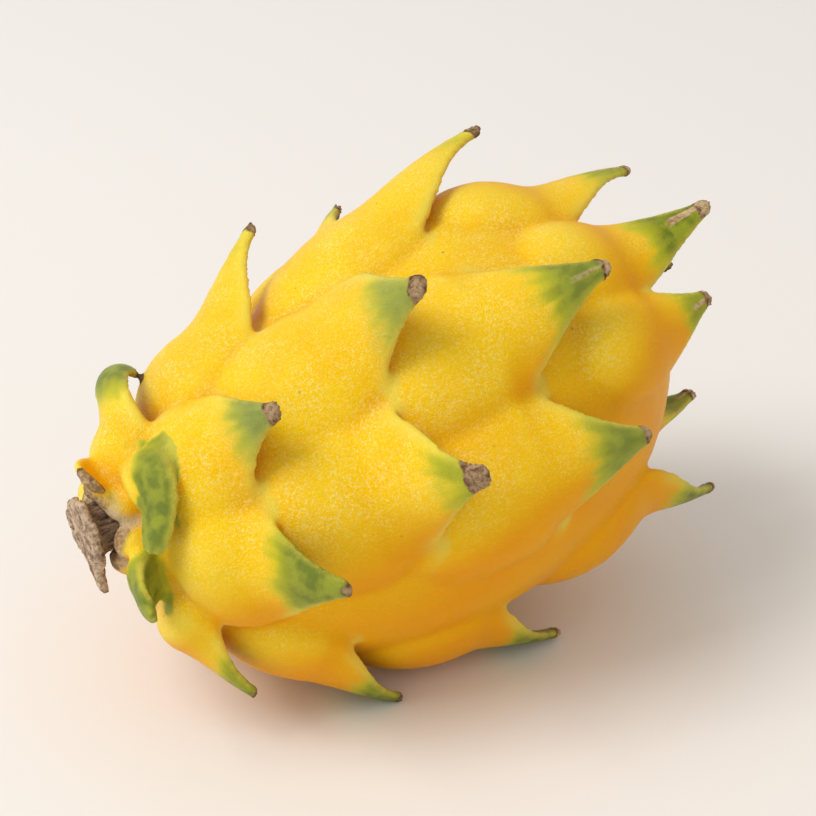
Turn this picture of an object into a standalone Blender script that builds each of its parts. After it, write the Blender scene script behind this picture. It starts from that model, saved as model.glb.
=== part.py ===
"""Yellow dragon fruit lying on its side: one solid fruit with its leafy scales, and its dry stem stub.

The fruit is built about its own long axis, which runs along +X from the stem end to the blossom end.
It is then tilted, so that the blossom end lifts, and set down on a small flat at z = 0.
Sizes are millimetres and degrees, and meshes are made in metres.
"""
import math
from collections import namedtuple

import bmesh
import bpy
import numpy as np

MM = 0.001

# The bare fruit, without its scales
LENGTH = 118.0          # stem end to blossom end
GIRTH_RADIUS = 37.6     # at the fullest station
FULLEST = 1.16          # above 1, the fullest station lies nearer the blossom end
STEM_BLUNTNESS = 0.34   # below 1, that end is rounder than a sine
BLOSSOM_BLUNTNESS = 0.60
DROOP = 5.0             # the belly hangs this much lower near the stem end
DROOP_STATION = 0.32    # where it hangs lowest, as a part of the length
DROOP_SPREAD = 0.23     # how far along the length the droop reaches
END_STATION = 0.012     # the profile stops this far short of each pole, as a part of the length

# How the fruit lies
TILT = 7.5              # the blossom end is lifted by this much
AXIS_HEIGHT = 44.2      # the middle of the long axis above the surface

# Every scale: a mound that grows out of the rind and ends in a free leaf
MOUND_RISE = 5.8        # crest of the mound above the bare fruit, where the leaf begins
MOUND_START = -1.5      # crest at the mound's stem end, just under the rind
MOUND_SWELL = 2.6       # above 1, the crest rises soon and then runs level
MOUND_ROUNDING = 0.5    # the mound's stem end is narrower by this part
MOUND_DEPTH = 10.0      # how deep the mound is rooted
MOUND_BEND = 21.0       # radius of the mound's crosswise arch
LEAF_BEND = 11.0        # radius of the leaf's crosswise arch
ARCH_CHANGE = 0.1       # part of the leaf in which the arch tightens
LEAF_NARROWING = 1.35   # above 1, the leaf's edges run in a hollow curve to the tip
BRACT_ROOT = 5.0        # scales with a mound up to this long are small bracts
BRACT_NARROWING = 0.55  # below 1, a bract stays broad and closes near its tip
LIFT_ONSET = 0.16       # part of the leaf in which it lifts off the rind
LEAN_SPAN = 0.4         # part of the leaf in which it turns sideways
THINNING = 0.14         # part of the leaf in which it thins
EDGE_BLUNTNESS = 0.6    # below 1, a scale's edges are blunter than an ellipse
TIP_HALF_WIDTH = 1.5
TIP_THICKNESS = 1.9
MOUND_STEPS = 9
LEAF_STEPS = 14
SECTION_POINTS = 24

# Blossom scar
CRATER_RADIUS = 8.5
CRATER_DEPTH = 8.0
CRATER_ROUNDING = 4.0   # height of the rounded bottom edge
CRATER_STEPS = 8

# Stem socket and stem stub
STEM_RISE = 6.0         # the stem stands this much above the long axis
NECK_RADIUS = 4.8
NECK_LENGTH = 7.5
NECK_ROOT = 3.0         # how far the neck reaches into the fruit
PLATE_RADIUS = 6.8
PLATE_THICKNESS = 2.2
SPLINTER = 4.5          # the torn end that hangs below the plate
SPLINTER_TURN = 162.0   # where it hangs, from the top
SPLINTER_SPREAD = 11.5
STEM_POINTS = 40
GAP = 0.3

# Lobes of rind that stand about the neck
COLLAR_OFFSET = 7.0     # lobe middles from the stem's axis
COLLAR_INSET = 1.6      # lobe middles from the stem end
COLLAR_STRETCH = 1.25   # lobes are this much longer along the fruit
COLLAR_LOBES = ((-15, 4.2), (35, 3.4), (95, 3.8), (150, 4.0), (215, 3.6), (275, 3.8))  # turn, radius

# Mesh fineness
SCREW_STEPS = 96
PROFILE_STEPS = 60
VOXEL = 1.0
SOFTENING_ROUNDS = 4
KEPT_TRIANGLES = 0.052  # part of the remeshed fruit's faces that is kept

Scale = namedtuple("Scale", "station around root width reach lift curl lean")

# station: where the leaf leaves the mound, from 0 at the stem end to 1 at the blossom end
# around: degrees from the top, toward -Y
# root, width: length and half-width of the mound; reach: length of the leaf
# lift: angle of the leaf off the rind; curl: how far it bends back; lean: sideways turn toward +around
SCALES = (
    # small bracts about the stem
    Scale(0.050, 25, 4, 6.5, 17, 39, 40, 130),
    Scale(0.012, 88, 3, 6.0, 11, 56, 50, 5),
    Scale(0.018, 0, 3, 5.0, 8, 80, 30, 55),
    Scale(0.030, -95, 4, 5.0, 9, 40, 60, 0),
    # first ring of leaves
    Scale(0.056, -14, 10, 10.0, 22, 100, 205, -32),
    Scale(0.130, 30, 15, 13.5, 20, 38, 22, 13),
    Scale(0.117, 78, 14, 14.0, 23, 35, 12, 0),
    Scale(0.058, 136, 8, 10.0, 15, 22, 12, 0),
    Scale(0.150, -90, 16, 12.0, 15, 45, 20, 0),
    Scale(0.120, -150, 13, 11.0, 12, 25, 20, 0),
    # second ring
    Scale(0.221, -25, 18, 14.5, 30, 20, 15, -24),
    Scale(0.338, 20, 25, 16.5, 26, 43, 2, 27),
    Scale(0.305, 62, 24, 17.0, 26, 48, 2, 3),
    Scale(0.215, 143, 19, 13.5, 20, 18, 12, 12),
    Scale(0.350, -85, 24, 14.0, 17, 42, 20, 0),
    Scale(0.340, -130, 24, 14.0, 16, 40, 20, 0),
    Scale(0.300, -160, 22, 13.0, 12, 15, 20, 0),
    # third ring
    Scale(0.520, -20, 25, 15.0, 36, 14, 15, -16),
    Scale(0.552, 38, 27, 16.0, 27, 7, 10, -2),
    Scale(0.556, 78, 30, 17.0, 22, 10, 10, 1),
    Scale(0.472, 151, 26, 15.0, 23, 28, 20, 7),
    Scale(0.500, -60, 24, 14.0, 18, 40, 15, -12),
    Scale(0.590, -105, 26, 14.5, 18, 42, 20, 0),
    Scale(0.560, -174, 26, 15.0, 13, 8, 15, 0),
    # fourth ring
    Scale(0.795, -18, 24, 13.5, 27, 34, 20, -10),
    Scale(0.785, 142, 25, 14.5, 23, 50, 25, 16),
    Scale(0.740, -160, 24, 14.0, 12, 20, 20, 0),
    Scale(0.750, -58, 24, 14.0, 17, 34, 20, -5),
    Scale(0.780, -112, 24, 14.0, 20, 42, 10, 0),
    # crown about the blossom end
    Scale(0.832, 24, 20, 11.5, 25, 14, -34, -7),
    Scale(0.833, 58, 20, 11.0, 17, 8, -15, -8),
    Scale(0.905, 174, 12, 9.0, 15, 52, 20, 2),
    Scale(0.955, -22, 8, 6.5, 10, 20, 10, 10),
    Scale(0.915, -80, 16, 10.0, 14, 40, 10, 0),
    Scale(0.900, -145, 16, 11.0, 15, 45, 10, 0),
)


def girth(station):
    """Radius of the bare fruit at a station."""
    bluntness = STEM_BLUNTNESS + (BLOSSOM_BLUNTNESS - STEM_BLUNTNESS) * station
    return GIRTH_RADIUS * math.sin(math.pi * station ** FULLEST) ** bluntness


def rind(station, around):
    """A point of the bare rind, with the directions along, across and out of it there."""
    step = 0.001
    slope = (girth(station + step) - girth(station - step)) / (2 * step * LENGTH)
    pitch = math.atan(slope)
    turn = math.radians(around)
    outward = np.array([0.0, -math.sin(turn), math.cos(turn)])
    across = np.array([0.0, -math.cos(turn), -math.sin(turn)])
    axis = np.array([1.0, 0.0, 0.0])
    along = math.cos(pitch) * axis + math.sin(pitch) * outward
    normal = math.cos(pitch) * outward - math.sin(pitch) * axis
    point = (station - 0.5) * LENGTH * axis + girth(station) * outward
    return point, along, across, normal


def mound_crest(scale):
    """Crest of the mound from its stem end to where the leaf begins: (place, point, along, across)."""
    crest = []
    station = scale.station
    for step in range(MOUND_STEPS):
        back = step / (MOUND_STEPS - 1)
        point, along, across, normal = rind(station, scale.around)
        rise = MOUND_RISE + (MOUND_START - MOUND_RISE) * back ** MOUND_SWELL
        crest.append((-back, point + rise * normal, along, across))
        station = max(station - along[0] * scale.root / (MOUND_STEPS - 1) / LENGTH, END_STATION)
    crest.reverse()
    return crest


def leaf_crest(scale):
    """Crest of the free leaf, bending away from the rind and then back: (place, point, along, across)."""
    point, along, across, normal = rind(scale.station, scale.around)
    point = point + MOUND_RISE * normal
    crest = []
    for step in range(1, LEAF_STEPS + 1):
        place = step / LEAF_STEPS
        middle = place - 0.5 / LEAF_STEPS
        bend = math.radians(scale.lift * (1 - math.exp(-middle / LIFT_ONSET)) - scale.curl * middle)
        turn = math.radians(scale.lean * min(1.0, middle / LEAN_SPAN))
        forward = math.cos(bend) * along + math.sin(bend) * normal
        heading = math.cos(turn) * forward + math.sin(turn) * across
        sideways = math.cos(turn) * across - math.sin(turn) * forward
        point = point + heading * scale.reach / LEAF_STEPS
        crest.append((place, point, heading, sideways))
    return crest


def half_width(scale, place):
    """Half-width of a scale: a round-ended mound, then edges that run in to a narrow tip."""
    if place <= 0:
        return scale.width * (1 - MOUND_ROUNDING * abs(place) ** 3)
    narrowing = LEAF_NARROWING if scale.root > BRACT_ROOT else BRACT_NARROWING
    spread = (1 - place) ** narrowing
    return TIP_HALF_WIDTH + (scale.width - TIP_HALF_WIDTH) * spread


def thickness(place):
    """Thickness of a scale: deep in the mound, thinning fast into the leaf."""
    if place <= 0:
        return MOUND_DEPTH
    return TIP_THICKNESS + (MOUND_DEPTH - TIP_THICKNESS) * math.exp(-place / THINNING)


def arch(place):
    """Radius of the crosswise arch of a scale."""
    if place <= 0:
        return MOUND_BEND
    return LEAF_BEND + (MOUND_BEND - LEAF_BEND) * math.exp(-place / ARCH_CHANGE)


def section(scale, place, point, along, across):
    """One arched lens-shaped section of a scale, hanging from its crest."""
    normal = np.cross(across, along)
    wide = half_width(scale, place)
    deep = thickness(place)
    bend = arch(place)
    ring = []
    for index in range(SECTION_POINTS):
        angle = 2 * math.pi * index / SECTION_POINTS
        side = wide * math.cos(angle)
        swell = math.copysign(abs(math.sin(angle)) ** EDGE_BLUNTNESS, math.sin(angle))
        height = deep / 2 * (swell - 1) - side ** 2 / (2 * bend)
        ring.append(point + side * across + height * normal)
    return ring


def add_loft(mesh, rings):
    """Skin a row of rings with equal point counts and close both ends."""
    rows = [[mesh.verts.new(corner * MM) for corner in ring] for ring in rings]
    count = len(rows[0])
    for near, far in zip(rows, rows[1:]):
        for index in range(count):
            after = (index + 1) % count
            mesh.faces.new((near[index], near[after], far[after], far[index]))
    mesh.faces.new(rows[0][::-1])
    mesh.faces.new(rows[-1])


def scale_mesh(scale):
    """Closed loft of one scale."""
    crest = mound_crest(scale) + leaf_crest(scale)
    mesh = bmesh.new()
    add_loft(mesh, [section(scale, *station) for station in crest])
    bmesh.ops.recalc_face_normals(mesh, faces=mesh.faces)
    return mesh


def collar_lobe(turn, radius):
    """One lobe of rind beside the neck."""
    mesh = bmesh.new()
    bmesh.ops.create_uvsphere(mesh, u_segments=24, v_segments=16, radius=radius * MM)
    bmesh.ops.scale(mesh, vec=(COLLAR_STRETCH, 1.0, 1.0), verts=mesh.verts)
    angle = math.radians(turn)
    middle = np.array([COLLAR_INSET - LENGTH / 2, -COLLAR_OFFSET * math.sin(angle),
                       COLLAR_OFFSET * math.cos(angle) + STEM_RISE])
    bmesh.ops.translate(mesh, vec=middle * MM, verts=mesh.verts)
    return mesh


def new_object(name, mesh, collection, parent):
    """Turn a bmesh into an object of the model."""
    data = bpy.data.meshes.new(name)
    mesh.to_mesh(data)
    mesh.free()
    thing = bpy.data.objects.new(name, data)
    thing.parent = parent
    collection.objects.link(thing)
    return thing


def turned(name, profile, collection, parent, height=0.0):
    """Turned solid about X: profile points are (radius, x), from the +X end to the -X end."""
    mesh = bmesh.new()
    corners = [mesh.verts.new((radius * MM, 0.0, x * MM)) for radius, x in profile]
    for first, second in zip(corners, corners[1:]):
        mesh.edges.new((first, second))
    thing = new_object(name, mesh, collection, parent)
    screw = thing.modifiers.new("turn", "SCREW")
    screw.steps = SCREW_STEPS
    screw.render_steps = SCREW_STEPS
    screw.use_merge_vertices = True
    screw.merge_threshold = 0.00001
    thing.rotation_euler = (0.0, math.pi / 2, 0.0)
    thing.location = (0.0, 0.0, height * MM)
    return thing


def body_profile():
    """Outline of the bare fruit from the blossom pole to the stem pole."""
    turns = [math.pi * index / PROFILE_STEPS for index in range(PROFILE_STEPS + 1)]
    stations = [END_STATION + (1 - 2 * END_STATION) * 0.5 * (1 + math.cos(turn)) for turn in turns]
    outline = [(girth(station), (station - 0.5) * LENGTH) for station in stations]
    return [(0.0, outline[0][1])] + outline + [(0.0, outline[-1][1])]


def droop(station):
    """How far the fruit's middle hangs below its straight long axis."""
    return DROOP * math.exp(-((station - DROOP_STATION) / DROOP_SPREAD) ** 2)


def sag(mesh):
    """Let every point of a mesh hang by the droop at its station."""
    for vertex in mesh.verts:
        vertex.co.z -= droop(vertex.co.x / MM / LENGTH + 0.5) * MM


def frozen(thing):
    """The object's evaluated mesh in its parent's space, as a bmesh. The object is removed."""
    bpy.context.view_layer.update()
    graph = bpy.context.evaluated_depsgraph_get()
    data = bpy.data.meshes.new_from_object(thing.evaluated_get(graph))
    mesh = bmesh.new()
    mesh.from_mesh(data)
    mesh.transform(thing.matrix_basis)
    bpy.data.meshes.remove(data)
    bpy.data.objects.remove(thing)
    return mesh


def joined(meshes):
    """Several bmeshes as one."""
    whole = bmesh.new()
    for mesh in meshes:
        data = bpy.data.meshes.new("piece")
        mesh.to_mesh(data)
        mesh.free()
        whole.from_mesh(data)
        bpy.data.meshes.remove(data)
    return whole


def cut(thing, cutter):
    """Take a cutter away from an object."""
    boolean = thing.modifiers.new("cut " + cutter.name, "BOOLEAN")
    boolean.operation = "DIFFERENCE"
    boolean.object = cutter
    cutter.hide_render = True
    cutter.display_type = "WIRE"


def build_fruit(collection, cutters, stand, axis):
    """Body and scales grown together into one skin, then cut for crater, stem socket and rest."""
    body = frozen(turned("body", body_profile(), collection, axis))
    scales = [scale_mesh(scale) for scale in SCALES]
    collar = [collar_lobe(turn, radius) for turn, radius in COLLAR_LOBES]
    mesh = joined([body] + scales + collar)
    sag(mesh)
    fruit = new_object("fruit", mesh, collection, axis)
    remesh = fruit.modifiers.new("grow together", "REMESH")
    remesh.mode = "VOXEL"
    remesh.voxel_size = VOXEL * MM
    soften = fruit.modifiers.new("soften", "SMOOTH")
    soften.factor = 0.5
    soften.iterations = SOFTENING_ROUNDS
    thin = fruit.modifiers.new("thin out", "DECIMATE")
    thin.ratio = KEPT_TRIANGLES
    thin.use_collapse_triangulate = True
    cut(fruit, crater_cutter(cutters, axis))
    cut(fruit, socket_cutter(cutters, axis))
    cut(fruit, floor_cutter(cutters, stand))
    return fruit


def crater_cutter(cutters, axis):
    """Round-bottomed hollow left by the flower."""
    rim = LENGTH / 2 + 1.0
    floor = LENGTH / 2 - CRATER_DEPTH
    outline = [(0.0, rim), (CRATER_RADIUS, rim)]
    for index in range(CRATER_STEPS + 1):
        angle = math.pi / 2 * index / CRATER_STEPS
        height = CRATER_ROUNDING * (1 - math.sin(angle))
        outline.append((CRATER_RADIUS * math.cos(angle) ** 0.6, floor + height))
    return turned("crater_cutter", outline, cutters, axis)


def socket_cutter(cutters, axis):
    """Blind hole that the stem's neck stands in, with the gap all round."""
    inner = -LENGTH / 2 + NECK_ROOT + GAP
    outer = -LENGTH / 2 - 4.0
    radius = NECK_RADIUS + GAP
    outline = [(0.0, inner), (radius, inner), (radius, outer), (0.0, outer)]
    return turned("socket_cutter", outline, cutters, axis, STEM_RISE - droop(0.0))


def floor_cutter(cutters, stand):
    """Block whose top face trims the belly flat."""
    mesh = bmesh.new()
    bmesh.ops.create_cube(mesh, size=1.0)
    bmesh.ops.scale(mesh, vec=(0.3, 0.3, 0.05), verts=mesh.verts)
    bmesh.ops.translate(mesh, vec=(0.0, 0.0, -0.025), verts=mesh.verts)
    return new_object("floor_cutter", mesh, cutters, stand)


def build_stem(collection, axis):
    """Dry neck and the torn woody plate at its end, as one loft."""
    inner = -LENGTH / 2 + NECK_ROOT
    shoulder = inner - NECK_LENGTH
    plan = (
        (inner, NECK_RADIUS * 0.9, 0.0),
        (inner - 0.8, NECK_RADIUS, 0.0),
        (shoulder + 1.5, NECK_RADIUS * 0.92, 0.0),
        (shoulder, NECK_RADIUS, 0.1),
        (shoulder - 0.5, PLATE_RADIUS * 0.96, 0.8),
        (shoulder - PLATE_THICKNESS * 0.6, PLATE_RADIUS, 1.0),
        (shoulder - PLATE_THICKNESS, PLATE_RADIUS * 0.9, 0.9),
    )
    rings = []
    for x, radius, ragged in plan:
        ring = []
        for index in range(STEM_POINTS):
            turn = 2 * math.pi * index / STEM_POINTS
            uneven = 0.08 * math.sin(3 * turn + 0.7) + 0.05 * math.sin(7 * turn)
            spike = SPLINTER * math.exp(-((math.degrees(turn) - SPLINTER_TURN) / SPLINTER_SPREAD) ** 2)
            reach = radius * (1 + ragged * uneven) + ragged * spike
            ring.append(np.array([x, -reach * math.sin(turn), reach * math.cos(turn)]))
        rings.append(ring)
    mesh = bmesh.new()
    add_loft(mesh, rings)
    bmesh.ops.recalc_face_normals(mesh, faces=mesh.faces)
    stem = new_object("stem", mesh, collection, axis)
    stem.location = (0.0, 0.0, (STEM_RISE - droop(0.0)) * MM)
    return stem


def material(name, colour, roughness):
    """Plain principled material."""
    made = bpy.data.materials.new(name)
    made.use_nodes = True
    shader = made.node_tree.nodes["Principled BSDF"]
    shader.inputs["Base Color"].default_value = (*colour, 1.0)
    shader.inputs["Roughness"].default_value = roughness
    return made


def empty(name, collection, parent=None):
    """Guide that places what is parented to it."""
    guide = bpy.data.objects.new(name, None)
    guide.parent = parent
    collection.objects.link(guide)
    return guide


def centre(stand, things):
    """Move the whole stand so that the parts' box is centred over the origin."""
    bpy.context.view_layer.update()
    graph = bpy.context.evaluated_depsgraph_get()
    corners = []
    for thing in things:
        shown = thing.evaluated_get(graph)
        corners += [thing.matrix_world @ vertex.co for vertex in shown.data.vertices]
    box = np.array([tuple(corner) for corner in corners])
    middle = (box.min(axis=0) + box.max(axis=0)) / 2
    stand.location = (-middle[0], -middle[1], 0.0)
    bpy.context.view_layer.update()


def main():
    for thing in list(bpy.data.objects):
        bpy.data.objects.remove(thing)
    parts = bpy.data.collections.new("dragon_fruit")
    cutters = bpy.data.collections.new("cutters")
    bpy.context.scene.collection.children.link(parts)
    bpy.context.scene.collection.children.link(cutters)

    stand = empty("stand", parts)
    axis = empty("long_axis", parts, stand)
    axis.location = (0.0, 0.0, AXIS_HEIGHT * MM)
    axis.rotation_euler = (0.0, -math.radians(TILT), 0.0)

    fruit = build_fruit(parts, cutters, stand, axis)
    fruit.data.materials.append(material("rind", (0.90, 0.62, 0.04), 0.45))
    stem = build_stem(parts, axis)
    stem.data.materials.append(material("dry_wood", (0.32, 0.21, 0.13), 0.85))
    centre(stand, (fruit, stem))


main()
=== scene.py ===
"""Looks of the yellow dragon fruit: speckled waxy rind, fleshy scales with green and dried ends,
blossom scar and dry stem stub, on a pale studio floor.

The skin is modelled about the fruit's own long axis in millimetres (stem end at -X, blossom end at
+X), then tilted and set into the CAD model's place in metres.
"""
import math
from collections import namedtuple

import bmesh
import bpy
import numpy as np
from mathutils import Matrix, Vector, noise


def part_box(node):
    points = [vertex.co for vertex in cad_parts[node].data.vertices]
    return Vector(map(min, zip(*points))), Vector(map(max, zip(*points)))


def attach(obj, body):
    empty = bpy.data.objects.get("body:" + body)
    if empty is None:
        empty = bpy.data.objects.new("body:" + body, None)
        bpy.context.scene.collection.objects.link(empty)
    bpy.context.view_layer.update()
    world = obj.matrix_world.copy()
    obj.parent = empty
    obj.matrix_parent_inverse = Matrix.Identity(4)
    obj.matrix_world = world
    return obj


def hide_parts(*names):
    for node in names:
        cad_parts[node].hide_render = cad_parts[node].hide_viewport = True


MM = 0.001

# The bare fruit, without its scales, as in the CAD model
LENGTH = 118.0          # stem end to blossom end
GIRTH_RADIUS = 37.6     # at the fullest station
FULLEST = 1.16          # above 1, the fullest station lies nearer the blossom end
STEM_BLUNTNESS = 0.34   # below 1, that end is rounder than a sine
BLOSSOM_BLUNTNESS = 0.60
DROOP = 5.0             # the belly hangs this much lower near the stem end
DROOP_STATION = 0.32    # where it hangs lowest, as a part of the length
DROOP_SPREAD = 0.23     # how far along the length the droop reaches
END_STATION = 0.012     # the profile stops this far short of each pole, as a part of the length

# How the fruit lies
TILT = 7.5              # the blossom end is lifted by this much
AXIS_HEIGHT = 44.2      # the middle of the long axis above the floor

# Every scale: a mound that grows out of the rind and ends in a free leaf
MOUND_RISE = 5.8        # crest of the mound above the bare fruit, where the leaf begins
MOUND_START = -1.5      # crest at the mound's stem end, just under the rind
MOUND_SWELL = 2.6       # above 1, the crest rises soon and then runs level
MOUND_ROUNDING = 0.5    # the mound's stem end is narrower by this part
MOUND_DEPTH = 10.0      # how deep the mound is rooted
MOUND_BEND = 21.0       # radius of the mound's crosswise arch
LEAF_BEND = 11.0        # radius of the leaf's crosswise arch
ARCH_CHANGE = 0.1       # part of the leaf in which the arch tightens
LEAF_NARROWING = 1.35   # above 1, the leaf's edges run in a hollow curve to the tip
BRACT_ROOT = 5.0        # scales with a mound up to this long are small bracts
BRACT_NARROWING = 0.55  # below 1, a bract stays broad and closes near its tip
LIFT_ONSET = 0.16       # part of the leaf in which it lifts off the rind
LEAN_SPAN = 0.4         # part of the leaf in which it turns sideways
THINNING = 0.14         # part of the leaf in which it thins
EDGE_BLUNTNESS = 0.6    # below 1, a scale's edges are blunter than an ellipse
TIP_HALF_WIDTH = 1.5
TIP_THICKNESS = 1.9
TIP_FLARE = 0.3         # the dried end widens by this much
FLARE_START = 0.86      # where along the leaf it starts to widen
TIP_ROUNDING = 1.0      # the very end is this much thinner
ROUNDING_START = 0.94   # where along the leaf the end starts to round off
MOUND_STEPS = 14
LEAF_STEPS = 26
SECTION_POINTS = 40

# Blossom scar
CRATER_RADIUS = 8.5
CRATER_DEPTH = 8.0
CRATER_ROUNDING = 4.0   # height of the rounded bottom edge
CRATER_BLUNTNESS = 0.6  # below 1, that edge is blunter than an ellipse
CRATER_STEPS = 12
CRATER_OPENING = 1.0    # the crater's cutter reaches this far past the blossom end
LEAST_RADIUS = 0.02     # its last ring stays this wide
LIP_OFFSET = 0.6        # the dried lip stands this far outside the scar's edge
LIP_WIDTH = 1.1
LIP_RISE = 0.7          # and this far above the rind
FOLD_COUNT = 3.2        # how closely the husk's folds follow each other around the scar
FOLD_DRIFT = 0.10       # how much the folds wander from the middle to the edge
CRATER_FOLDS = 1.1      # height of the folds inside the scar
LIP_FOLDS = 1.2         # and on its lip
STYLE_RADIUS = 2.0      # stub of the flower's style in the middle of the scar
STYLE_RISE = 2.6

# Stem socket and stem stub
STEM_RISE = 6.0         # the stem stands this much above the long axis
NECK_RADIUS = 4.8
NECK_WAIST = 0.10       # the neck's middle is narrower by this part
NECK_LENGTH = 7.5
NECK_ROOT = 3.0         # how far the neck reaches into the fruit
PLATE_RADIUS = 6.8
PLATE_THICKNESS = 2.2
SPLINTER = 4.5          # the torn end that hangs below the plate
SPLINTER_TURN = 162.0   # where it hangs, from the top
SPLINTER_SPREAD = 11.46
STEM_POINTS = 160
SOCKET_OPENING = 4.0    # the socket's cutter reaches this far past the stem end
GAP = 0.3

# Lobes of rind that stand about the neck
COLLAR_OFFSET = 7.0     # lobe middles from the stem's axis
COLLAR_INSET = 1.6      # lobe middles from the stem end
COLLAR_STRETCH = 1.25   # lobes are this much longer along the fruit
COLLAR_LOBES = ((-15, 4.2), (35, 3.4), (95, 3.8), (150, 4.0), (215, 3.6), (275, 3.8))  # turn, radius

# Fineness of the skin
TURN_STEPS = 120
PROFILE_STEPS = 90
VOXEL = 0.6
SMOOTHING_ROUNDS = 4
SMOOTHING = 0.62        # how far a point moves to its neighbours' middle in one round
LEAF_STIFFNESS = 0.86   # part of that smoothing that a leaf escapes
BROAD_ROUNDS = 45       # smoothing of the broad shape that tells mounds from hollows
BROAD_SMOOTHING = 0.7

# Relief of the skin: the height of its unevenness
WAVES = 0.30            # broad and shallow, off the leaves
PIMPLES = 0.07
TIP_WRINKLES = 0.34
TIP_GRIT = 0.05
STRIP_WRINKLES = 0.10
CRATER_GRIT = 0.35
COLLAR_GRIT = 0.25

# Painted light: the side that faces the light, up and toward the stem, is painted a lighter yellow and the
# side away from it a deeper, shaded orange
PAINTED_LIGHT_SIDE = np.array([-0.62, -0.30, 0.72])

# Sizes of the patterns on the rind
MOTTLE_SIZE = 3.0
PATCH_SIZE = 14.0
PORE_SIZE = 0.8
NET_SIZE = 0.62
GRAIN_SIZE = 0.42
SPECKLE_PATCH = 8.0
FRECKLE_SPACING = 4.2
FRECKLE_PATCH = 9.0

# Colours of the rind, with painted light: shaded and lit yellows and creams, a painted highlight and a
# painted shade
PAINTED_SHADE_YELLOW = (0.88, 0.36, 0.001)
PAINTED_LIT_YELLOW = (0.97, 0.62, 0.004)
PATCH_YELLOW = (0.90, 0.46, 0.002)
# painted highlight on the lit swells
PAINTED_HIGHLIGHT_YELLOW = (0.98, 0.79, 0.075)
# painted shade in the hollows
PAINTED_HOLLOW_SHADE = (0.77, 0.34, 0.001)
# speckle colours: a real pattern, painted paler on the lit side as a painted sheen
PAINTED_SHADE_CREAM = (1.0, 0.80, 0.08)
PAINTED_LIT_CREAM = (1.0, 0.90, 0.38)
FRECKLE_BROWN = (0.36, 0.22, 0.03)

# Colours of the leaf ends
LIME = (0.58, 0.56, 0.025)
LEAF_GREEN = (0.15, 0.20, 0.020)
OLIVE_GREEN = (0.31, 0.35, 0.030)
GREY_GREEN = (0.30, 0.37, 0.15)
EDGE_YELLOW = (0.80, 0.68, 0.10)

# Colours of the dried parts, each from dark to pale
DRY_TAN = ((0.34, 0.19, 0.085), (0.70, 0.53, 0.31))
DRY_BROWN = ((0.11, 0.047, 0.028), (0.40, 0.26, 0.15))
HUSK = ((0.15, 0.07, 0.035), (0.62, 0.44, 0.25))
SCAR = ((0.040, 0.020, 0.014), (0.30, 0.18, 0.10))
NECK_WOOD = ((0.10, 0.055, 0.032), (0.36, 0.23, 0.135))
PLATE_WOOD = ((0.27, 0.17, 0.105), (0.68, 0.51, 0.35))
PIT_BROWN = (0.12, 0.07, 0.045)

# Camera
CAMERA_AZIMUTH = -30.0    # from the fruit's broad front side toward the stem end
CAMERA_ELEVATION = 30.0
CAMERA_DISTANCE = 430.0
CAMERA_LENS = 100.0
SENSOR_WIDTH = 36.0
CAMERA_AIM_AHEAD = 1.7    # the aim stands this much toward the blossom end
CAMERA_AIM_HEIGHT = 47.5

# Studio, in metres and watts
FLOOR_HALF_SIDE = 6.0
FLOOR_COLOUR = (0.87, 0.855, 0.835)
KEY_LEFT = 0.90           # the key light stands this far to the camera's left of the aim,
KEY_NEARER = 0.36         # this far toward the camera
KEY_RISE = 1.22           # and this far above
KEY_SIDE = 0.80
KEY_POWER = 14.5
KEY_COLOUR = (1.0, 0.98, 0.96)
SKY_COLOUR = (1.0, 0.96, 0.905, 1.0)
SKY_STRENGTH = 0.64

Scale = namedtuple("Scale", "station around root width reach lift curl lean green blue strip dried")

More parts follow.
